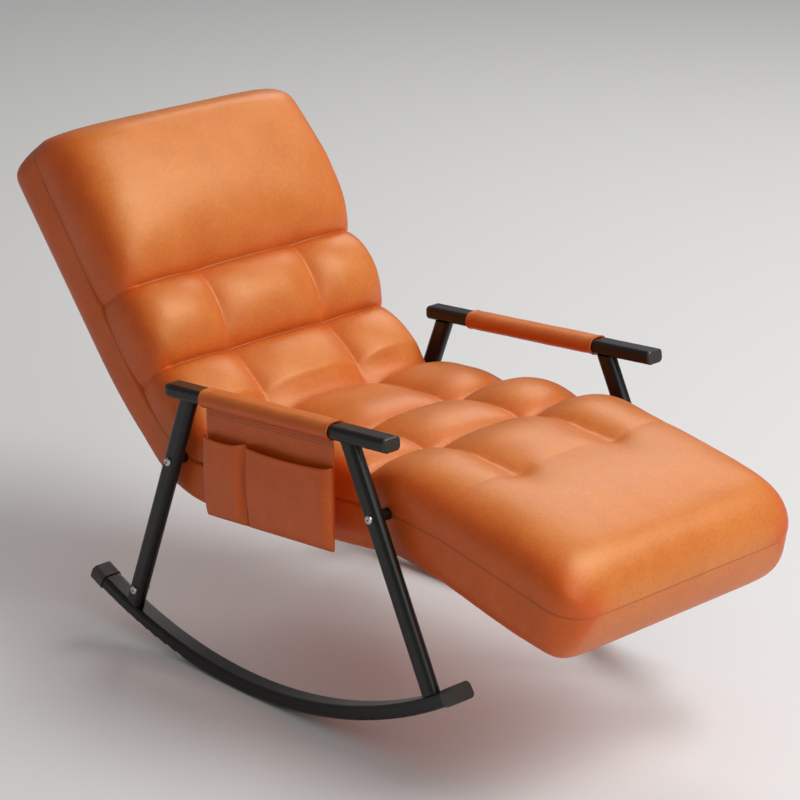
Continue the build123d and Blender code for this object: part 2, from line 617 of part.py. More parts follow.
# Foam bases under the pads, with channels for the frames
def frame_channels(line, s0, s1, outer, crossings):
    floor = rail_bottom - CHANNEL_GAP
    side = side_plate(line.strip(s0, s1 + CHANNEL_GAP, floor, RAIL), outer - RAIL - CHANNEL_GAP,
                      outer + CHANNEL_GAP)
    cut = side + mirror(side, about=Plane.YZ)
    for s in crossings:
        half = CROSS_TUBE / 2 + CHANNEL_GAP
        cut += side_plate(line.strip(s - half, s + half, -RAIL_DROP - half, RAIL),
                          -outer + RAIL, outer - RAIL)
    return cut


def base_slab(line, s0, s1, depth, end_depth=None):
    """A foam slab along a line, with its lower edges rounded and, if it tapers, its lower end."""
    slab = side_plate(line.strip(s0, s1, -depth, -SEAM_DROP, -(end_depth or depth)),
                      -HALF_WIDTH, HALF_WIDTH)
    if end_depth:
        corner = line.point(s1, -end_depth)
        slab = fillet([e for e in slab.edges() if (e.center() - corner).length < OVERCUT], END_CORNER)
    under = [f for f in slab.faces() if f.normal_at().dot(line.above((s0 + s1) / 2)) < -0.5]
    rims = [e for f in under for e in f.edges() if abs(e.center().X) > HALF_WIDTH - OVERCUT]
    return fillet(rims, BASE_CORNER)


def base_knuckle(line, radius):
    disc = cross_cylinder(line.y, PIVOT_HEIGHT, radius, -HALF_WIDTH, HALF_WIDTH)
    disc = fillet(disc.edges().filter_by(GeomType.CIRCLE), BASE_CORNER)
    lower = line.strip(-2 * radius, 2 * radius, -2 * radius, -SEAM_DROP)
    return disc & side_plate(lower, -REACH, REACH)


back_base = base_slab(back_line, 0, BACK_LENGTH, BACK_DEPTH, HEAD_DEPTH)
back_base += base_knuckle(back_line, BACK_KNUCKLE)
back_base -= frame_channels(back_line, RAIL_START, back_rail_end, swing_rail_outer, back_crossings)
save("back_base", back_base - back_bays)

foot_base = base_slab(foot_line, 0, FOOT_LENGTH, FOOT_DEPTH, FOOT_END_DEPTH)
foot_base += base_knuckle(foot_line, FOOT_KNUCKLE)
foot_base -= frame_channels(foot_line, RAIL_START, foot_rail_end, swing_rail_outer, foot_crossings)
lap_room = Pos(0, front_pivot + REACH, PIVOT_HEIGHT - KNEE_ROOM + REACH) * Box(
    2 * REACH, 2 * REACH, 2 * REACH)
save("foot_base", foot_base - foot_bays - lap_room)

seat_base = base_slab(seat_line, front_pivot + SEAT_LIP, rear_pivot - SEAT_LIP, SEAT_DEPTH)
seat_base -= frame_channels(seat_line, *seat_rail, seat_rail_outer, seat_crossings)
save("seat_base", seat_base - back_room - foot_room - fold_room())
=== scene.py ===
import json
import math
import bpy
import numpy as np
from mathutils import Matrix, Vector, noise


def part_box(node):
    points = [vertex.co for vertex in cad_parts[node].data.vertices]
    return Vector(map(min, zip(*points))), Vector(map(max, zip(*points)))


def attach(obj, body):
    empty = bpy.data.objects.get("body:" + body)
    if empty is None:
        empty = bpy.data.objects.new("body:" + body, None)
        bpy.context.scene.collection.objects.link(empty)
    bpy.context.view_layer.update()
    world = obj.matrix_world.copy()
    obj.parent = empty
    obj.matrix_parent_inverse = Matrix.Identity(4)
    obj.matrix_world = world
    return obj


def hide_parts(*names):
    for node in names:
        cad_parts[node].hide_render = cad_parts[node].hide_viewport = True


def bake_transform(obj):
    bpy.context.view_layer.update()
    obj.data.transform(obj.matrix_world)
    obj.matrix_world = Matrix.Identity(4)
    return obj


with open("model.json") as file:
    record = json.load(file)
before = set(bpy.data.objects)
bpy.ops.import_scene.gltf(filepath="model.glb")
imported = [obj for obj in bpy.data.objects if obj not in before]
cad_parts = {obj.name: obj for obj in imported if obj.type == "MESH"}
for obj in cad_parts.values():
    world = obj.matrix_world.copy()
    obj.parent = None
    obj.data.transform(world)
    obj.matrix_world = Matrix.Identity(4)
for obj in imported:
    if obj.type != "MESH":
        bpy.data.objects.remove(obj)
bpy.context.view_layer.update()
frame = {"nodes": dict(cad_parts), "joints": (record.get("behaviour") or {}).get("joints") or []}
nodes = frame["nodes"]
bpy.ops.object.select_all(action="DESELECT")


# Side frames: bent runners, slanting legs and armrest bars of steel tube, welded and bolted, with
# the inner frames that the cushions hide. They are powder coated satin black, which leaves a fine
# orange peel and a soft, even gloss. The spacers on the pivots get the same black as painted shade.
def srgb(code):
    """A colour written as sRGB hex, as linear RGBA."""
    shares = [int(code[i:i + 2], 16) / 255 for i in (0, 2, 4)]
    return (*((c / 12.92 if c <= 0.04045 else ((c + 0.055) / 1.055) ** 2.4) for c in shares), 1.0)


def add_node(tree, kind, settings, links):
    """Adds a node, sets its inputs and properties by name, and links other nodes' sockets to it."""
    node = tree.nodes.new(kind)
    for name, value in settings.items():
        if isinstance(name, int) or name in node.inputs:
            node.inputs[name].default_value = value
        else:
            setattr(node, name, value)
    for name, socket in links.items():
        tree.links.new(socket, node.inputs[name])
    return node


def new_finish(name, roughness=0.5, metallic=0.0):
    """A new material, with its node tree, its surface shader and its Object coordinates."""
    material = bpy.data.materials.new(name)
    material.use_nodes = True
    tree = material.node_tree
    surface = tree.nodes["Principled BSDF"]
    surface.inputs["Roughness"].default_value = roughness
    surface.inputs["Metallic"].default_value = metallic
    place = add_node(tree, "ShaderNodeTexCoord", {}, {}).outputs["Object"]
    return material, tree, surface, place


def paint_nodes(material, *names):
    """Gives the named nodes this finish and no other."""
    for name in names:
        nodes[name].data.materials.clear()
        nodes[name].data.materials.append(material)


SIDES = ("left", "right")
ORANGE_PEEL = 0.0022         # real peel is about 1 mm, drawn twice as coarse so that it shows
COAT_CLOUD = 0.09            # slow changes of tone and gloss along a tube
powder_coat, tree, surface, place = new_finish("satin_black_powder_coat")
surface.inputs["Specular IOR Level"].default_value = 0.4
peel = add_node(tree, "ShaderNodeTexNoise", {"Scale": 1 / ORANGE_PEEL, "Detail": 2.0}, {"Vector": place})
cloud = add_node(tree, "ShaderNodeTexNoise", {"Scale": 1 / COAT_CLOUD, "Detail": 4.0}, {"Vector": place})
tone = add_node(tree, "ShaderNodeMix", {"data_type": "RGBA", 6: srgb("0a0807"), 7: srgb("13100e")},
                {0: cloud.outputs["Fac"]})
gloss = add_node(tree, "ShaderNodeMapRange", {"To Min": 0.28, "To Max": 0.4}, {"Value": cloud.outputs["Fac"]})
bump = add_node(tree, "ShaderNodeBump", {"Strength": 0.12, "Distance": 0.0005},
                {"Height": peel.outputs["Fac"]})
tree.links.new(tone.outputs[2], surface.inputs["Base Color"])
tree.links.new(gloss.outputs["Result"], surface.inputs["Roughness"])
tree.links.new(bump.outputs["Normal"], surface.inputs["Normal"])
for side in SIDES:
    paint_nodes(powder_coat, f"runner_{side}", f"runner_stub_{side}", f"rear_leg_{side}",
                f"front_leg_{side}", f"armrest_bar_{side}")
# The pivot spacers are black as painted shade between the legs and the cushion.
paint_nodes(powder_coat, "back_frame", "foot_frame", "seat_frame", "pivot_spacers")


# Caps on the runners and plugs in the armrest bars: moulded polyethylene, dark grey with a soft
# spark-eroded grain on the caps and a plainer, glossier face on the plugs. They are pushed on.
MOULD_GRAIN = 0.0016         # spark grain is about 0.3 mm, drawn coarser so that it shows
MOULD_CLOUD = 0.025          # slow changes of tone


def moulded_plastic(name, low, high, roughness, grain_depth):
    """A dull plastic or rubber between two tones, with the grain of its mould."""
    material, tree, surface, place = new_finish(name, roughness)
    grain = add_node(tree, "ShaderNodeTexVoronoi", {"Scale": 1 / MOULD_GRAIN}, {"Vector": place})
    cloud = add_node(tree, "ShaderNodeTexNoise", {"Scale": 1 / MOULD_CLOUD, "Detail": 3.0}, {"Vector": place})
    tone = add_node(tree, "ShaderNodeMix", {"data_type": "RGBA", 6: srgb(low), 7: srgb(high)},
                    {0: cloud.outputs["Fac"]})
    bump = add_node(tree, "ShaderNodeBump", {"Strength": 0.25, "Distance": grain_depth},
                    {"Height": grain.outputs["Distance"]})
    tree.links.new(tone.outputs[2], surface.inputs["Base Color"])
    tree.links.new(bump.outputs["Normal"], surface.inputs["Normal"])
    return material


cap_plastic = moulded_plastic("moulded_cap_plastic", "35322f", "45413d", roughness=0.55, grain_depth=0.0006)
plug_plastic = moulded_plastic("moulded_plug_plastic", "1d1c1b", "292725", roughness=0.36, grain_depth=0.0002)
for side in SIDES:
    paint_nodes(cap_plastic, f"runner_cap_front_{side}", f"runner_cap_rear_{side}")
    paint_nodes(plug_plastic, f"armrest_plug_front_{side}", f"armrest_plug_rear_{side}")


# Tipping stops: small round feet of moulded rubber, fixed under the runners' rear ends. They are
# dull black with a chalky bloom.
stop_rubber = moulded_plastic("black_stop_rubber", "151413", "262422", roughness=0.75, grain_depth=0.0004)
paint_nodes(stop_rubber, "tipping_stop_left", "tipping_stop_right")


# Bolts and nuts, and the stamped hinge plates with their drums: zinc-plated steel, bright with a
# faint cloudiness and marks from the heading die. The bolts carry the legs and the pivots.
DIE_MARK = 0.0009            # marks are about 0.2 mm, drawn coarser so that they show
SPANGLE = 0.00625            # cloudiness of the plating
zinc, tree, surface, place = new_finish("zinc_plated_steel", metallic=1.0)
marks = add_node(tree, "ShaderNodeTexNoise", {"Scale": 1 / DIE_MARK, "Detail": 2.0}, {"Vector": place})
spangle = add_node(tree, "ShaderNodeTexNoise", {"Scale": 1 / SPANGLE, "Detail": 3.0}, {"Vector": place})
tone = add_node(tree, "ShaderNodeMix", {"data_type": "RGBA", 6: srgb("b4b3b0"), 7: srgb("dddcd8")},
                {0: spangle.outputs["Fac"]})
gloss = add_node(tree, "ShaderNodeMapRange", {"To Min": 0.22, "To Max": 0.38},
                 {"Value": marks.outputs["Fac"]})
tree.links.new(tone.outputs[2], surface.inputs["Base Color"])
tree.links.new(gloss.outputs["Result"], surface.inputs["Roughness"])
paint_nodes(zinc, "pivot_bolts", "pivot_nuts", "leg_bolts", "leg_nuts")
for side in SIDES:
    for hinge in ("back", "foot"):
        paint_nodes(zinc, f"{hinge}_hinge_drum_{side}", f"{hinge}_hinge_plate_{side}")


# Cushion cover: one padded sleeve of orange imitation leather over seat, backrest and footrest. A
# tufted top panel is sewn through the foam in rows and meets a plain lower panel in a seam that
# runs round the sides and ends. The cover is cut at the sewn row in the middle of the seat.

# Its leather is polyurethane on a knit, embossed with pores, mottled and flecked, with a soft warm
# sheen. Painted highlight makes it paler on the upward crowns, painted shade redder on the walls.
PORE = 0.0026                # pores are about 1 mm, drawn coarser so that they show
FLECK = 0.006                # small darker specks
MOTTLE = 0.055               # uneven dye
BROAD = 0.2                  # slow changes of tone along the cushion
leather, tree, surface, place = new_finish("orange_imitation_leather")
grain = add_node(tree, "ShaderNodeTexVoronoi", {"feature": "SMOOTH_F1", "Scale": 1 / PORE, "Smoothness": 0.6},
                 {"Vector": place})
mottle = add_node(tree, "ShaderNodeTexNoise", {"Scale": 1 / MOTTLE, "Detail": 6.0, "Roughness": 0.62},
                  {"Vector": place})
broad = add_node(tree, "ShaderNodeTexNoise", {"Scale": 1 / BROAD, "Detail": 2.0}, {"Vector": place})
sewn_and_crease_shade = add_node(tree, "ShaderNodeAttribute", {"attribute_name": "sewn_and_crease_shade"}, {})
highlight_mask = add_node(tree, "ShaderNodeAttribute", {"attribute_name": "painted_highlight"}, {})
# Two tones: a redder one of painted shade for the walls and a paler one of painted highlight for the crowns.
shaded_tone = add_node(tree, "ShaderNodeMix", {"data_type": "RGBA", 6: srgb("c24a0a"), 7: srgb("e4651d")},
                 {0: mottle.outputs["Fac"]})
light = add_node(tree, "ShaderNodeMix", {"data_type": "RGBA", 6: srgb("cd6f2a"), 7: srgb("e58e44")},
                 {0: mottle.outputs["Fac"]})
tone = add_node(tree, "ShaderNodeMix", {"data_type": "RGBA"},
                {0: highlight_mask.outputs["Fac"], 6: shaded_tone.outputs[2], 7: light.outputs[2]})
worn = add_node(tree, "ShaderNodeMix", {"data_type": "RGBA", "blend_type": "MULTIPLY", 7: srgb("f4e6da")},
                {0: broad.outputs["Fac"], 6: tone.outputs[2]})
fleck = add_node(tree, "ShaderNodeTexNoise", {"Scale": 1 / FLECK, "Detail": 5.0, "Roughness": 0.7},
                 {"Vector": place})
speck = add_node(tree, "ShaderNodeMapRange", {"From Min": 0.35, "From Max": 0.75},
                 {"Value": fleck.outputs["Fac"]})
warm = add_node(tree, "ShaderNodeMix", {"data_type": "RGBA", "blend_type": "MULTIPLY", 7: srgb("f0e2d6")},
                {0: speck.outputs["Result"], 6: worn.outputs[2]})
# Darker at the seams, and at the bottom of deep rows by their thread and painted shade in the crease.
seams_and_shade = add_node(tree, "ShaderNodeMix", {"data_type": "RGBA", 7: srgb("9c4213")},
                  {0: sewn_and_crease_shade.outputs["Fac"], 6: warm.outputs[2]})
gloss = add_node(tree, "ShaderNodeMapRange", {"To Min": 0.36, "To Max": 0.48},
                 {"Value": mottle.outputs["Fac"]})
pores = add_node(tree, "ShaderNodeBump", {"Strength": 0.28, "Distance": 0.0007},
                 {"Height": grain.outputs["Distance"]})
drape = add_node(tree, "ShaderNodeBump", {"Strength": 0.1, "Distance": 0.004},
                 {"Height": mottle.outputs["Fac"], "Normal": pores.outputs["Normal"]})
surface.inputs["Specular IOR Level"].default_value = 0.75
surface.inputs["Specular Tint"].default_value = srgb("ffe9bc")
tree.links.new(seams_and_shade.outputs[2], surface.inputs["Base Color"])
tree.links.new(gloss.outputs["Result"], surface.inputs["Roughness"])
tree.links.new(drape.outputs["Normal"], surface.inputs["Normal"])

HALF_WIDTH = 0.27            # about the cover's size, for spacing the points of its sections
TOP_HEIGHT = 0.1
LOW_HEIGHT = 0.09
COLUMN = 0.110               # sewn lines between the three columns of tufts, from the middle
COLUMN_DEPTH = 0.024
INNER_PILLOW = 0.1           # how far a pillow takes to rise from a column's line, inwards and outwards
OUTER_PILLOW = 0.075
TOP_FULLNESS = (10.0, 4.6)   # powers of the section above the seam, across and upwards
END_FULLNESS = (5.5, 2.9)    # the same at the head and the foot, whose corners are softer
LOW_FULLNESS = (12.0, 6.0)   # the same below the seam
TOP_BULGE = 0.006            # how far the sides stand out beyond the seams, against the half width
LOW_BULGE = 0.004
ROW_DEPTH = 0.040            # how far a sewn row draws the cover in
PINCH_EXTRA = 0.006          # and how much further where a column crosses it
PINCH_SIZE = 0.03
ROW_THREAD_AND_SHADE = 0.7               # how dark a deep row's bottom is, against a seam: its thread and painted shade in the crease
WALL_SHARE = 0.2             # share of the rows' depth that is left on the walls
SHOULDER = 0.8               # sine of the section's angle from which the rows have their whole depth
ROWS_FADE = 0.02             # the columns end this far beyond the last row
COLUMN_ENDS = 0.4            # the columns run out on the walls, the sooner the larger this is
SEAM_DEPTH = 0.0007          # the seam lies this far in
SPLIT_DEPTH = 0.0012         # groove where the cover is cut
SPLIT_WIDTH = 0.003
ON_LINE = 1e-6               # closer than this is on a line
TINY = 1e-9                  # keeps a division off zero

joint_places = {joint["name"]: Vector(joint["pos_m"]) for joint in frame["joints"]}
rear_pivot = joint_places["back_recline"]
front_pivot = joint_places["foot_tilt"]
seat_way = (rear_pivot - front_pivot).normalized()
seat_up = Vector((0, -seat_way.z, seat_way.y))


def along_path(runs, t):
    """Distance along the seat, height and heading at t on a path of straight and bent runs."""
    way = rise = heading = 0.0
    for length, turn in runs:
        part = min(t, length)
        bend = turn * part / length
        chord = part if not bend else 2 * length / turn * math.sin(bend / 2)
        way += chord * math.cos(heading + bend / 2)
        rise += chord * math.sin(heading + bend / 2)
        heading += bend
        t -= part
    return way, rise, heading


def spread(places, spacing):
    """Picks places so that neighbours are as far apart as spacing says there."""
    steps = np.diff(places) / ((spacing[1:] + spacing[:-1]) / 2)
    count = np.concatenate([[0], np.cumsum(steps)])
    return np.interp(np.linspace(0, count[-1], round(count[-1]) + 1), count, places)


ROW_RINGS = 0.003            # spacing of the rings in a sewn row
ROW_REACH = 0.035            # from here on they are wider apart by RING_EXTRA
RING_EXTRA = 0.008
END_STEPS = 13               # rings round the end
TRIAL_RINGS = 4000           # places tried along the path
SEAM_TURNS = (0.06, 0.012, 0.0)   # angles of the last rings, close beside the seam round the end


def ring_places(length, lines, end_round):
    """Where the rings lie: close beside the sewn rows and round the end."""
    t = np.linspace(0, length - end_round, TRIAL_RINGS)
    gap = np.min([abs(t - line) for line in lines], axis=0)
    places = spread(t, ROW_RINGS + RING_EXTRA * np.clip(gap / ROW_REACH, 0, 1))
    for line in lines:
        places[np.argmin(abs(places - line))] = line
    end_turns = np.linspace(math.pi / 2, 0, END_STEPS)[1:-1]
    turn = math.pi / 2 - np.append(end_turns, SEAM_TURNS)
    return np.concatenate([places, length - end_round * (1 - np.sin(turn))])


def section(angle, fullness, bulge):
    """Half of a full rounded section, one unit wide and high, from seam to seam."""
    across, upward = fullness
    x = np.sign(np.cos(angle)) * abs(np.cos(angle)) ** (2 / across)
    rise = abs(np.sin(angle)) ** (2 / upward)
    return x * (1 + bulge * np.sin(math.pi * rise) ** 2), rise


SEAM_POINTS = 0.0022         # spacing of a section's points beside the seams
SEAM_BAND = 0.004            # beyond this band they are wider apart, by FLAT_EXTRA after SEAM_FADE
SEAM_FADE = 0.02
FLAT_EXTRA = 0.0068
COLUMN_POINTS = 0.004        # the same beside the columns' lines
COLUMN_FADE = 0.03
COLUMN_EXTRA = 0.005
TRIAL_ANGLES = 6001          # angles tried from seam to seam


def section_angles(fullness, bulge, height, count=None):
    """Angles of the section's points, close beside the seams. A given count is for the plain lower
    panel, and without one the points are close beside the columns' sewn lines too."""
    angle = np.linspace(0, math.pi, TRIAL_ANGLES)
    x, rise = section(angle, fullness, bulge)
    x, rise = x * HALF_WIDTH, rise * height
    length = np.concatenate([[0], np.cumsum(np.hypot(np.diff(x), np.diff(rise)))])
    seam_gap = np.minimum(length, length[-1] - length)
    spacing = SEAM_POINTS + FLAT_EXTRA * np.clip((seam_gap - SEAM_BAND) / SEAM_FADE, 0, 1)
    if count is None:
        column_gap = abs(abs(x) - COLUMN)
        column_spacing = COLUMN_POINTS + COLUMN_EXTRA * np.clip(column_gap / COLUMN_FADE, 0, 1)
        spacing = np.minimum(spacing, column_spacing)
    places = spread(length, spacing)
    if count is not None:
        places = np.interp(np.linspace(0, 1, count), np.linspace(0, 1, len(places)), places)
    return np.interp(places, length, angle)


def pillow(gap, reach, fullness=2.2, sharpness=0.55):
    """0 in a sewn line and 1 from reach on, steep beside the line where two pillows press together."""
    share = np.clip(gap / reach, 0, 1)
    return (1 - (1 - share) ** fullness) ** sharpness


def end_share(t, length, reach):
    """1 along the cushion, falling on a quarter circle to 0 at its end."""
    return math.sqrt(max(0.0, 1 - max(0.0, (t - length + reach) / reach) ** 2))


def tuft_depth(t, x, steep, rows):
    """How far the sewn rows and columns draw the cover in at t, for points x across."""
    edge = np.clip(steep / SHOULDER, 0, 1)
    shoulder = WALL_SHARE + (1 - WALL_SHARE) * edge * edge * (3 - 2 * edge)
    column_gap = abs(abs(x) - COLUMN)
    column_reach = np.where(abs(x) < COLUMN, INNER_PILLOW, OUTER_PILLOW)
    column = 1 - pillow(column_gap, column_reach, fullness=2.0, sharpness=0.68)
    drawn = np.zeros_like(x)
    full = 1.0
    for line, depth, pinch, before, after in rows:
        open_row = pillow(np.array(abs(t - line)), before if t < line else after)
        spot = np.exp(-(column_gap / PINCH_SIZE) ** 2)
        drawn += (depth * shoulder + pinch * spot) * (1 - open_row)
        full = full * open_row
    first, last = rows[0][0], rows[-1][0]
    fade = np.clip(min(t - first, last - t) / ROWS_FADE + 1, 0, 1)
    column_share = np.clip(shoulder * (1 + COLUMN_ENDS) - COLUMN_ENDS, 0, 1)
    return drawn + COLUMN_DEPTH * column * full * fade * column_share


CROWN_HIGHLIGHT = 1.6          # how fast the painted highlight grows from the walls to the crowns
WALL_SHADE = 0.3             # taken off it, so that the walls keep painted shade
LEAST_HIGHLIGHT = 0.4          # share of it that is left in the deepest sewn lines
SHADE_DEPTH = 0.06           # depth of a sewn line that would take all of it
LOW_HIGHLIGHT = 0.8            # painted highlight of the lower panel at its round end


def crown_highlight_share(steep, drawn):
    """Share of painted highlight: most on the upward crowns, less in sewn lines, none on the walls."""
    crown = np.clip(CROWN_HIGHLIGHT * steep ** 2 - WALL_SHADE, 0, 1)
    return crown * max(LEAST_HIGHLIGHT, 1 - drawn / SHADE_DEPTH)


MERGE_GAP = 0.0004           # points closer than this become one
CUT_GAP = 1e-5               # points closer to the cut than this lie on it


def cover_mesh(name, points, last, values):
    """A closed mesh from rings of points, each over the top from 0 to last and then below, with its
    values at the points. The ring at the cut keeps a sharp edge."""
    around = 2 * last
    loop = list(range(last + 1)) + list(range(around - 1, last, -1))
    faces = []
    for here in range(0, len(points) - around, around):
        there = here + around
        for a, b in zip(loop, loop[1:] + loop[:1]):
            faces.append((here + a, here + b, there + b, there + a))
    for j in range(1, last - 1):
        faces.append((j, j + 1, last + j + 1, last + j))
    faces += [(0, 1, last + 1), (last - 1, last, around - 1)]
    mesh = bpy.data.meshes.new(name)
    mesh.from_pydata(points, [], faces)
    for value_name, shares in values.items():
        mesh.attributes.new(value_name, "FLOAT", "POINT").data.foreach_set("value", shares)
    piece = bpy.data.objects.new(name, mesh)
    bpy.context.collection.objects.link(piece)
    bpy.ops.object.select_all(action="DESELECT")
    piece.select_set(True)
    bpy.context.view_layer.objects.active = piece
    bpy.ops.object.mode_set(mode="EDIT")
    bpy.ops.mesh.select_all(action="SELECT")
    bpy.ops.mesh.remove_doubles(threshold=MERGE_GAP)
    bpy.ops.mesh.normals_make_consistent(inside=False)
    bpy.ops.object.mode_set(mode="OBJECT")
    at_cut = [abs((vertex.co - CUT_PLACE).dot(seat_way)) < CUT_GAP for vertex in piece.data.vertices]
    crease = [float(at_cut[edge.vertices[0]] and at_cut[edge.vertices[1]]) for edge in piece.data.edges]
    piece.data.attributes.new("crease_edge", "FLOAT", "EDGE").data.foreach_set("value", crease)
    return piece


MOST_SWELL = 0.013           # how far the cloth may move on the crowns and on the walls
MOST_SIDE_SWELL = 0.003
SEAM_PINS = 4                # so many points beside a seam are held
COLUMN_PIN = 0.7             # hold on the columns' lines, fading over COLUMN_PIN_REACH
COLUMN_PIN_REACH = 0.006
END_HELD = 0.6               # share of the round end over which the hold grows to full


def cushion_cover(name, way, runs, rows, end_round, low_round, corner, crown, seam, depth, width, soft):
    """A cover swept along its path from the cut in the seat to its rounded end. Crown, seam, depth,
    width and soft are each places along the path and values there."""
    length = sum(run[0] for run in runs)
    places = ring_places(length, [row[0] for row in rows], end_round)
    top_angles = section_angles(TOP_FULLNESS, TOP_BULGE, TOP_HEIGHT)
    low_angles = section_angles(LOW_FULLNESS, LOW_BULGE, LOW_HEIGHT, len(top_angles))
    steep = np.sin(top_angles)
    last = len(top_angles) - 1
    points, sewn_and_crease_shade, pinned, swell, painted_highlight = [], [], [], [], []
    for t in places:
        ahead, rise, heading = along_path(runs, t)
        centre = CUT_PLACE + way * ahead + seat_up * rise
        normal = seat_up * math.cos(heading) - way * math.sin(heading)
        at_end = t == places[-1]
        on_row = [row for row in rows if abs(t - row[0]) < ON_LINE]
        # The bottom of a deep row is darkened by its thread and by painted shade in the crease.
        thread = ROW_THREAD_AND_SHADE * any(row[1] == ROW_DEPTH for row in on_row)
        tufted = rows[0][0] < t < rows[-1][0]
        split = SPLIT_DEPTH * max(0.0, 1 - t / SPLIT_WIDTH)
        half = np.interp(t, *width) - corner * (1 - end_share(t, length, corner)) - split
        level = np.interp(t, *seam)
        height = (np.interp(t, *crown) - level) * end_share(t, length, end_round)
        drop = (np.interp(t, *depth) + level - split) * end_share(t, length, low_round)
        softness = np.interp(t, *soft)
        fullness = [np.interp(softness, (0, 1), pair) for pair in zip(TOP_FULLNESS, END_FULLNESS)]
        flat_x, up = section(top_angles, fullness, TOP_BULGE)
        flat_x, up = flat_x * half, level + up * height
        run_x, run_up = np.gradient(flat_x), np.gradient(up)
        size = np.hypot(run_x, run_up) + TINY
        drawn = tuft_depth(t, flat_x, steep, rows) * end_share(t, length, end_round)
        x, up = flat_x - drawn * run_up / size, up + drawn * run_x / size
        x[0], x[-1] = x[0] - SEAM_DEPTH, x[-1] + SEAM_DEPTH
        low_x, low_up = section(low_angles, LOW_FULLNESS, LOW_BULGE)
        low_x, low_up = low_x * half, level - low_up * drop
        if at_end:
            low_x, low_up = x, up
        held = np.clip((t - length + end_round) / (END_HELD * end_round), 0, 1)
        for j in range(last + 1):
            points.append(centre + Vector((x[j], 0, 0)) + normal * up[j])
            sewn_and_crease_shade.append(1.0 if j in (0, last) or at_end else thread * steep[j])
            swell.append(MOST_SIDE_SWELL + (MOST_SWELL - MOST_SIDE_SWELL) * steep[j] ** 2)
            # Painted highlight on the crowns, painted shade on the walls and in sewn lines.
            painted_highlight.append(crown_highlight_share(steep[j], drawn[j]))
            column = COLUMN_PIN * tufted * max(0.0, 1 - abs(abs(flat_x[j]) - COLUMN) / COLUMN_PIN_REACH)
            pinned.append(1.0 if on_row or min(j, last - j) < SEAM_PINS else max(held, column))
        for j in range(1, last):
            points.append(centre + Vector((low_x[j], 0, 0)) + normal * low_up[j])
            sewn_and_crease_shade.append(1.0 if at_end else 0.0)
            swell.append(0.0)
            # Painted highlight on the lower panel's round end.
            at_low_end = np.clip((t - length) / low_round + 1, 0, 1)
            painted_highlight.append(LOW_HIGHLIGHT * np.sin(low_angles[j]) * at_low_end)
            pinned.append(1.0)
    return cover_mesh(name, points, last,
                      {"sewn_and_crease_shade": sewn_and_crease_shade, "painted_highlight": painted_highlight, "pinned": pinned, "free_swell": swell})


PRESSURE = 4.0
SWELL_FRAMES = 20


def blow_up(piece):
    """Lets the cover swell between its sewn lines as cloth under pressure, and keeps the result."""
    mesh = piece.data
    start = np.array([v.co for v in mesh.vertices])
    pinned = np.array([a.value for a in mesh.attributes["pinned"].data])
    group = piece.vertex_groups.new(name="sewn_down")
    for i, share in enumerate(pinned):
        if share:
            group.add([i], share, "REPLACE")
    cloth = piece.modifiers.new("Cloth", "CLOTH")
    cloth.settings.vertex_group_mass = "sewn_down"
    cloth.settings.use_pressure = True
    cloth.settings.uniform_pressure_force = PRESSURE
    cloth.settings.effector_weights.gravity = 0
    cloth.settings.quality = 5
    cloth.settings.tension_stiffness = 12
    cloth.settings.compression_stiffness = 6
    cloth.settings.bending_stiffness = 5.0
    cloth.collision_settings.use_collision = False
    cloth.point_cache.frame_start = 1
    cloth.point_cache.frame_end = SWELL_FRAMES
    for moment in range(1, SWELL_FRAMES + 1):
        bpy.context.scene.frame_set(moment)
    bpy.context.view_layer.objects.active = piece
    bpy.ops.object.modifier_apply(modifier="Cloth")
    bpy.context.scene.frame_set(1)
    moved = np.array([v.co for v in mesh.vertices]) - start
    far = np.linalg.norm(moved, axis=1)
    most = np.array([a.value for a in mesh.attributes["free_swell"].data])
    share = np.minimum(1, most / np.maximum(far, TINY))
    mesh.vertices.foreach_set("co", (start + moved * share[:, None]).ravel())
    mesh.update()
    settle = piece.modifiers.new("Settle", "SMOOTH")
    settle.factor = 0.5
    settle.iterations = 2
    settle.vertex_group = "sewn_down"
    settle.invert_vertex_group = True
    bpy.ops.object.modifier_apply(modifier="Settle")


def finish_cover(piece):
    """Swells and smooths a cover, and gives it its leather."""
    blow_up(piece)
    smooth = piece.modifiers.new("Smooth", "SUBSURF")
    smooth.levels = smooth.render_levels = 1
    bpy.context.view_layer.objects.active = piece
    bpy.ops.object.modifier_apply(modifier="Smooth")
    bpy.ops.object.shade_smooth()
    piece.data.materials.append(leather)


# The rear piece runs from the cut over the rear half of the seat, the crease and the lumbar bend to
# the head. Each row is its place, its depth and pinch, and the pillows' reach before and after it.
CUT_TO_REAR = 0.263          # from the cut in the seat to the rear pivots
CREASE_START = 0.2197
CREASE_RADIUS = 0.1136
CREASE_TURN = math.radians(43.6)
LUMBAR_RADIUS = 0.75
LUMBAR_TURN = math.radians(14.9)
HEAD_RUN = 0.382
CUT_PLACE = rear_pivot - seat_way * CUT_TO_REAR
rear_runs = [(CREASE_START, 0.0), (CREASE_RADIUS * CREASE_TURN, CREASE_TURN),
             (LUMBAR_RADIUS * LUMBAR_TURN, LUMBAR_TURN), (HEAD_RUN, 0.0)]
rear_rows = [(0.0, ROW_DEPTH, PINCH_EXTRA, 0.1, 0.103),
             (0.2076, ROW_DEPTH, PINCH_EXTRA, 0.103, 0.1),
             (0.4092, ROW_DEPTH, PINCH_EXTRA, 0.1, 0.08),
             (0.5672, ROW_DEPTH, PINCH_EXTRA, 0.08, 0.1)]
rear_length = sum(run[0] for run in rear_runs)
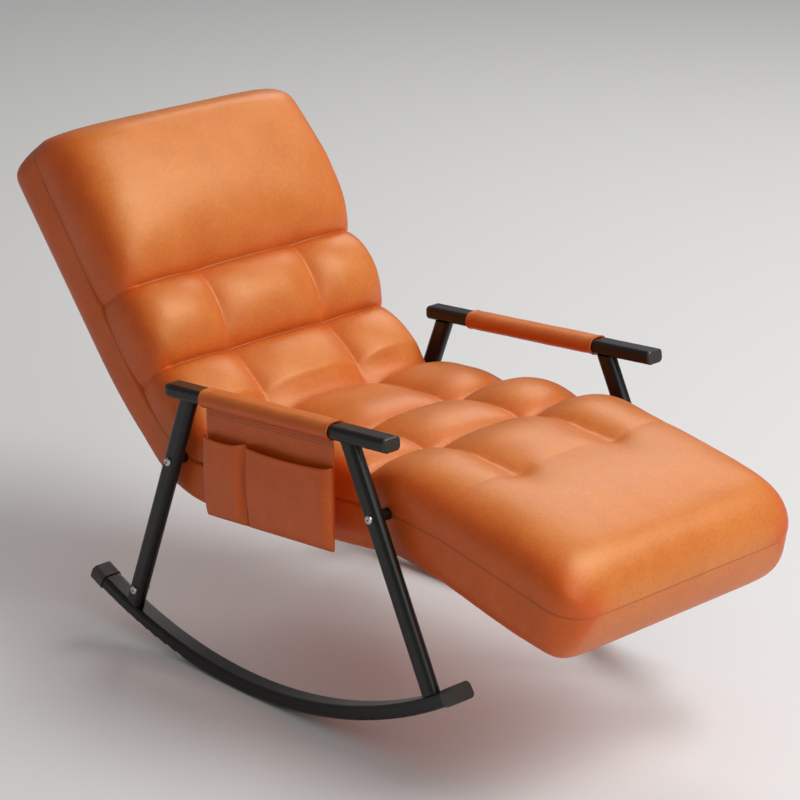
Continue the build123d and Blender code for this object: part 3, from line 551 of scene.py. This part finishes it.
seat_back_cover = cushion_cover(
    "seat_back_cover", seat_way, rear_runs, rear_rows, end_round=0.056, low_round=0.020, corner=0.042,
    crown=([0, 0.1, 0.2, 0.27, 0.4, 0.49, 0.62, rear_length - 0.17, rear_length],
           [0.080, 0.073, 0.080, 0.094, 0.097, 0.106, 0.110, 0.113, 0.104]),
    seam=([0, 0.35, rear_length], [0.0, -0.006, -0.013]),
    depth=([0, 0.2, 0.35, rear_length], [0.092, 0.094, 0.086, 0.117]),
    width=([0, 0.3], [0.271, 0.274]),
    soft=([rear_length - 0.17, rear_length - 0.03], [0, 1]))
finish_cover(seat_back_cover)
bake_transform(seat_back_cover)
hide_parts("back_pad", "back_base", "seat_pad", "seat_base")

# The front piece runs from the cut over the front half of the seat and the knee to the foot. Its
# last row is shallow, with deep pinches where the columns meet it.
CUT_TO_FRONT = 0.2411        # from the cut in the seat to the front pivots
KNEE_RADIUS = 0.25
KNEE_TURN = math.radians(16)
FOOT_RUN = 0.3729
FOOT_ROW_DEPTH = 0.003
FOOT_PINCH = 0.014
knee_tangent = KNEE_RADIUS * math.tan(KNEE_TURN / 2)
front_runs = [(CUT_TO_FRONT - knee_tangent, 0.0), (KNEE_RADIUS * KNEE_TURN, -KNEE_TURN),
              (FOOT_RUN, 0.0)]
front_rows = [(0.0, ROW_DEPTH, PINCH_EXTRA, 0.1, 0.088),
              (0.175, ROW_DEPTH, PINCH_EXTRA, 0.088, 0.09),
              (0.356, FOOT_ROW_DEPTH, FOOT_PINCH, 0.09, 0.09)]
front_length = sum(run[0] for run in front_runs)
foot_cover = cushion_cover(
    "foot_cover", -seat_way, front_runs, front_rows, end_round=0.085, low_round=0.036, corner=0.058,
    crown=([0, 0.09, 0.2, 0.26, 0.36, 0.5, front_length],
           [0.080, 0.082, 0.082, 0.090, 0.099, 0.103, 0.098]),
    seam=([0, 0.24, 0.36, front_length], [0.0, 0.002, 0.014, 0.014]),
    depth=([0, 0.2, 0.3, 0.37, 0.47, 0.53, front_length],
           [0.092, 0.086, 0.078, 0.076, 0.081, 0.082, 0.076]),
    width=([0, 0.35], [0.271, 0.268]),
    soft=([0.16, 0.32, front_length - 0.1, front_length - 0.03], [0, 0.6, 0.6, 1]))
finish_cover(foot_cover)
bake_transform(foot_cover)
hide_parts("foot_pad", "foot_base")


# Armrest sleeves: a strip of the same leather over thin foam, wrapped round the bar and closed
# underneath, with the ends folded in. The foam leaves faint ripples and a raised rim at each end.
SLEEVE_WIDTH = 0.043
SLEEVE_DEPTH = 0.031
SLEEVE_CORNER = 0.0150
SLEEVE_WALL = 0.0033
SLEEVE_CUTS = 30
SLEEVE_EDGE = 0.0012
HEM = 0.011                  # how far the ends are folded in
FOLD_WIDTH = 0.004
RIM_WIDTH = 0.0035
RIM_HEIGHT = 0.0009
RIPPLE_HEIGHT = 0.0007
SLEEVE_HIGHLIGHT = 0.75        # painted highlight on top of the bar
RIPPLES_ACROSS = 18          # ripples for each metre
RIPPLES_ALONG = 26
LEFT_RIPPLES = 7             # starts the left sleeve's ripples elsewhere
REAR_CUT = {"left": 0.0, "right": 0.007}   # the right sleeve ends this much sooner at the rear
lean_angle = math.atan2(seat_way.z, seat_way.y)
lean = Matrix.Rotation(lean_angle, 4, "X")


def in_edit_mode(piece):
    """Selects a piece alone and opens it to work on its faces."""
    bpy.ops.object.select_all(action="DESELECT")
    piece.select_set(True)
    bpy.context.view_layer.objects.active = piece
    bpy.ops.object.mode_set(mode="EDIT")
    bpy.ops.mesh.select_mode(type="FACE")


def select_faces(piece, chosen):
    """Selects the faces that the test accepts and nothing else, and stays in edit mode."""
    bpy.ops.mesh.select_all(action="DESELECT")
    bpy.ops.object.mode_set(mode="OBJECT")
    for face in piece.data.polygons:
        face.select = chosen(face)
    bpy.ops.object.mode_set(mode="EDIT")


def wrap_sleeve(side):
    """One sleeve: a bevelled, hollow-ended block, rippled, smoothed and tilted on to its bar."""
    low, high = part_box(f"armrest_sleeve_{side}")
    high.y -= REAR_CUT[side]
    length = (high.y - low.y - SLEEVE_DEPTH * abs(math.sin(lean_angle))) / math.cos(lean_angle)
    bpy.ops.object.select_all(action="DESELECT")
    bpy.ops.mesh.primitive_cube_add(size=1, scale=(SLEEVE_WIDTH, length, SLEEVE_DEPTH))
    piece = bpy.context.object
    piece.name = f"sleeve_{side}"
    bpy.ops.object.transform_apply(scale=True)
    in_edit_mode(piece)
    bpy.ops.mesh.select_mode(type="EDGE")
    bpy.ops.mesh.select_all(action="DESELECT")
    bpy.ops.object.mode_set(mode="OBJECT")
    for edge in piece.data.edges:
        a, b = (piece.data.vertices[i].co for i in edge.vertices)
        edge.select = abs(a.y - b.y) > length / 2
    bpy.ops.object.mode_set(mode="EDIT")
    bpy.ops.mesh.bevel(offset=SLEEVE_CORNER, segments=5)
    bpy.ops.mesh.select_mode(type="FACE")
    for end in (-1, 1):
        select_faces(piece, lambda face: face.normal.y * end > 0.9)
        bpy.ops.mesh.inset(thickness=SLEEVE_WALL)
        bpy.ops.mesh.extrude_region_move(TRANSFORM_OT_translate={"value": (0, -end * HEM, 0)})
    for i in range(1, SLEEVE_CUTS):
        bpy.ops.mesh.select_all(action="SELECT")
        bpy.ops.mesh.bisect(plane_co=(0, length * (i / SLEEVE_CUTS - 0.5), 0), plane_no=(0, 1, 0))
    bpy.ops.object.mode_set(mode="OBJECT")
    half = length / 2
    for vertex in piece.data.vertices:
        outward = Vector((vertex.co.x, 0, vertex.co.z))
        from_end = half - abs(vertex.co.y)
        fold = math.exp(-((from_end - HEM) / FOLD_WIDTH) ** 2)
        rim = math.exp(-(from_end / RIM_WIDTH) ** 2)
        ripple = noise.noise(Vector((vertex.co.x * RIPPLES_ACROSS, vertex.co.y * RIPPLES_ALONG,
                                     vertex.co.z * RIPPLES_ACROSS + LEFT_RIPPLES * (side == "left"))))
        lift = RIPPLE_HEIGHT * ripple - RIM_HEIGHT * fold + RIM_HEIGHT * rim
        vertex.co += outward.normalized() * lift
    smooth = piece.modifiers.new("Smooth", "SUBSURF")
    smooth.levels = smooth.render_levels = 2
    edges = piece.modifiers.new("Edges", "BEVEL")
    edges.width = SLEEVE_EDGE
    edges.segments = 2
    edges.angle_limit = math.radians(50)
    bpy.ops.object.modifier_move_to_index(modifier="Edges", index=0)
    bpy.ops.object.modifier_apply(modifier="Edges")
    bpy.ops.object.modifier_apply(modifier="Smooth")
    bpy.ops.object.shade_smooth()
    # Painted highlight: the leather is paler where the sleeve faces up.
    painted_highlight = [max(0.0, SLEEVE_HIGHLIGHT * vertex.normal.z) for vertex in piece.data.vertices]
    piece.data.attributes.new("painted_highlight", "FLOAT", "POINT").data.foreach_set("value", painted_highlight)
    piece.data.transform(Matrix.Translation((low + high) / 2) @ lean)
    piece.data.materials.append(leather)
    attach(piece, "frame")
    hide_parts(f"armrest_sleeve_{side}")


for side in SIDES:
    wrap_sleeve(side)


# Side pocket: a back panel hanging from the right sleeve, with a large and a small pouch sewn on
# along their sides and bottoms. Single leather, hemmed at the mouths, sagging a little.
LEATHER = 0.0016             # thickness of the single leather
STITCH = 0.0042              # from one stitch to the next
STITCH_SHARE = 0.72          # share of that which the thread shows on top
THREAD = 0.0013              # thread is 0.6 mm, drawn coarser so that it shows
slope = math.tan(lean_angle)


def stitched_leather(name, width, drop, lines):
    """The leather with rows of stitches, each along X or Y at a distance from the sheet's start."""
    material = leather.copy()
    material.name = name
    tree = material.node_tree
    surface = tree.nodes["Principled BSDF"]
    flat = add_node(tree, "ShaderNodeTexCoord", {}, {}).outputs["UV"]
    parts = add_node(tree, "ShaderNodeSeparateXYZ", {}, {"Vector": flat}).outputs
    place = {axis: add_node(tree, "ShaderNodeMath", {"operation": "MULTIPLY", 1: size}, {0: parts[axis]})
             for axis, size in (("X", width), ("Y", drop))}
    stitches = None
    for axis, offset in lines:
        across = place["Y" if axis == "X" else "X"].outputs[0]
        line = add_node(tree, "ShaderNodeMath", {"operation": "COMPARE", 1: offset, 2: THREAD / 2},
                        {0: across})
        count = add_node(tree, "ShaderNodeMath", {"operation": "DIVIDE", 1: STITCH},
                         {0: place[axis].outputs[0]})
        pitch = add_node(tree, "ShaderNodeMath", {"operation": "FRACT"}, {0: count.outputs[0]})
        dash = add_node(tree, "ShaderNodeMath", {"operation": "LESS_THAN", 1: STITCH_SHARE},
                        {0: pitch.outputs[0]})
        row = add_node(tree, "ShaderNodeMath", {"operation": "MULTIPLY"},
                       {0: line.outputs[0], 1: dash.outputs[0]})
        if stitches:
            row = add_node(tree, "ShaderNodeMath", {"operation": "MAXIMUM"},
                           {0: row.outputs[0], 1: stitches.outputs[0]})
        stitches = row
    plain = surface.inputs["Base Color"].links[0].from_socket
    thread = add_node(tree, "ShaderNodeMix", {"data_type": "RGBA", 7: srgb("6d2c10")},
                      {0: stitches.outputs[0], 6: plain})
    smooth = surface.inputs["Normal"].links[0].from_socket
    raised = add_node(tree, "ShaderNodeBump", {"Strength": 0.5, "Distance": 0.0006},
                      {"Height": stitches.outputs[0], "Normal": smooth})
    tree.links.new(thread.outputs[2], surface.inputs["Base Color"])
    tree.links.new(raised.outputs["Normal"], surface.inputs["Normal"])
    return material


def hung_sheet(name, node, columns, rows, outward, lines):
    """A sheet over a pocket node's outline: plumb sides, and top and bottom parallel to the sleeve."""
    low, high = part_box(node)
    drop = (high.z - low.z) + (high.y - low.y) * slope
    bpy.ops.object.select_all(action="DESELECT")
    bpy.ops.mesh.primitive_grid_add(x_subdivisions=columns, y_subdivisions=rows, size=1)
    piece = bpy.context.object
    piece.name = name
    for vertex in piece.data.vertices:
        across, down = vertex.co.x + 0.5, 0.5 - vertex.co.y
        reach, sag = outward(across, down)
        y = low.y + across * (high.y - low.y)
        top = high.z + (y - low.y) * slope
        vertex.co = Vector((-reach, y, top - down * drop - sag))
    in_edit_mode(piece)
    bpy.ops.mesh.select_all(action="SELECT")
    bpy.ops.mesh.normals_make_consistent(inside=False)
    bpy.ops.object.mode_set(mode="OBJECT")
    if piece.data.polygons[0].normal.x > 0:
        piece.data.flip_normals()
    wall = piece.modifiers.new("Wall", "SOLIDIFY")
    wall.thickness = LEATHER
    wall.offset = -1
    smooth = piece.modifiers.new("Smooth", "SUBSURF")
    smooth.levels = smooth.render_levels = 1
    for modifier in ("Wall", "Smooth"):
        bpy.ops.object.modifier_apply(modifier=modifier)
    bpy.ops.object.shade_smooth()
    width = (high.y - low.y) * math.hypot(1, slope)
    piece.data.materials.append(stitched_leather(f"stitched_{name}", width, drop, lines(drop)))
    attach(piece, "frame")
    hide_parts(node)
    return piece


panel_face = -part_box("pocket_back_panel")[0].x
PANEL_BELLY = 0.0012
PANEL_RISE = 1.1             # the hollow is deepest at half the panel's drop, divided by this


def panel_shape(across, down):
    """The panel's distance from the middle of the chair, and its sag: a slight hollow."""
    belly = PANEL_BELLY * math.sin(math.pi * across) * math.sin(math.pi * min(1, down * PANEL_RISE))
    return panel_face - belly, 0.0


POUCH_GAP = 0.0012           # the pouches lie this far off the panel
POUCH_DEPTH = 0.0165
POUCH_EDGE = 0.02            # a pouch rises over this width at its outer edge
POUCH_FOLD = 0.016           # and over this one at the row of stitches between the pouches
FOLD_LEFT = 0.04             # share of the depth that is left at those stitches
POUCH_FLOOR = 0.55           # share of the height from which the pouch closes downwards
EDGE_CURVE = (2.4, 0.6)      # powers of its roundness at the edge and at the floor
FLOOR_CURVE = (3.2, 0.5)
POUCH_BELLY = 0.2            # share of the depth that belongs to its belly
BELLY_RISE = 1.25            # the belly is fullest at half the pouch's drop, divided by this
HEM_HEIGHT = 0.0011          # the mouth's hem, at these shares of the height
HEM_MIDDLE = 0.03
HEM_HALF = 0.035


def pouch_shape(width, droop, divider):
    """Full between a flat outer edge and the row of stitches that parts the two pouches."""
    def shape(across, down):
        to_divider = (1 - across if divider == "rear" else across) * width
        to_edge = width - to_divider
        edge = (1 - (1 - min(1.0, to_edge / POUCH_EDGE)) ** EDGE_CURVE[0]) ** EDGE_CURVE[1]
        fold = min(1.0, to_divider / POUCH_FOLD)
        side = edge * (FOLD_LEFT + (1 - FOLD_LEFT) * fold * fold * (3 - 2 * fold))
        closing = max(0.0, (down - POUCH_FLOOR) / (1 - POUCH_FLOOR))
        floor = (1 - closing ** FLOOR_CURVE[0]) ** FLOOR_CURVE[1] if down < 1 else 0.0
        belly = 1 - POUCH_BELLY + POUCH_BELLY * math.sin(math.pi * min(1.0, down * BELLY_RISE))
        from_hem = min(1.0, abs(down - HEM_MIDDLE) / HEM_HALF)
        hem = HEM_HEIGHT * (1 - from_hem ** 2) if down < HEM_MIDDLE + HEM_HALF else 0.0
        sag = droop * math.sin(math.pi * across) * (1 - down) ** 2
        return panel_face + POUCH_GAP + POUCH_DEPTH * side * floor * belly + hem, sag
    return shape


PANEL_STITCHES = (0.007, 0.012)   # rows of stitches, below the panel's top
POUCH_STITCHES = 0.004            # the row above a pouch's bottom


def panel_lines(drop):
    """Two rows of stitches under the sleeve."""
    return [("X", drop - below) for below in PANEL_STITCHES]


def pouch_lines(drop):
    """One row of stitches along the bottom, whatever the drop."""
    return [("X", POUCH_STITCHES)]


back_panel = hung_sheet("pocket_panel", "pocket_back_panel", columns=28, rows=18, outward=panel_shape,
                        lines=panel_lines)
large_pouch = hung_sheet("pocket_pouch_large", "pocket_large_pouch", columns=64, rows=32,
                         outward=pouch_shape(width=0.212, droop=0.005, divider="rear"), lines=pouch_lines)
small_pouch = hung_sheet("pocket_pouch_small", "pocket_small_pouch", columns=40, rows=32,
                         outward=pouch_shape(width=0.104, droop=0.004, divider="front"), lines=pouch_lines)


# Floor, light and camera: a wide pale floor, a large soft lamp high on the right, a weaker one
# behind the chair and one beside the camera, which stands at the photograph's viewpoint.
FLOOR_SIZE = 30.0
bpy.ops.object.select_all(action="DESELECT")
bpy.ops.mesh.primitive_plane_add(size=FLOOR_SIZE, location=(0, 0, 0))
floor = bpy.context.object
floor.name = "floor"
pale_floor, _, surface, _ = new_finish("pale_studio_floor", roughness=0.6)
surface.inputs["Base Color"].default_value = srgb("e4e3e2")
floor.data.materials.append(pale_floor)

world = bpy.data.worlds.new("studio")
bpy.context.scene.world = world
world.use_nodes = True
background = world.node_tree.nodes["Background"]
background.inputs["Color"].default_value = srgb("dedede")
background.inputs["Strength"].default_value = 0.35

CAMERA_PLACE = Vector((-3.1874, -3.4580, 2.1520))
CAMERA_AIM = Vector((0, -0.0803, 0.46805))
CAMERA_LENS = 131.24         # millimetres, as is the sensor's width
CAMERA_SENSOR = 36.0


def soft_lamp(name, place, size, power):
    """A rectangular lamp with a diffuser, turned to the chair; size is its width and height."""
    data = bpy.data.lights.new(name, "AREA")
    data.energy = power
    data.shape = "RECTANGLE"
    data.size, data.size_y = size
    lamp = bpy.data.objects.new(name, data)
    bpy.context.collection.objects.link(lamp)
    lamp.location = place
    lamp.rotation_euler = (CAMERA_AIM - Vector(place)).to_track_quat("-Z", "Y").to_euler()


soft_lamp("key", place=(2.0, -3.2, 5.0), size=(3.4, 3.4), power=245)
soft_lamp("side", place=(3.8, 1.8, 3.8), size=(2.8, 1.8), power=65)
soft_lamp("front", place=(-1.6, -5.2, 3.0), size=(4.0, 3.0), power=80)

camera_data = bpy.data.cameras.new("camera")
camera_data.lens = CAMERA_LENS
camera_data.sensor_width = CAMERA_SENSOR
camera = bpy.data.objects.new("camera", camera_data)
bpy.context.collection.objects.link(camera)
camera.location = CAMERA_PLACE
camera.rotation_euler = (CAMERA_AIM - CAMERA_PLACE).to_track_quat("-Z", "Y").to_euler()
bpy.context.scene.camera = camera
bpy.context.scene.view_settings.view_transform = "Standard"
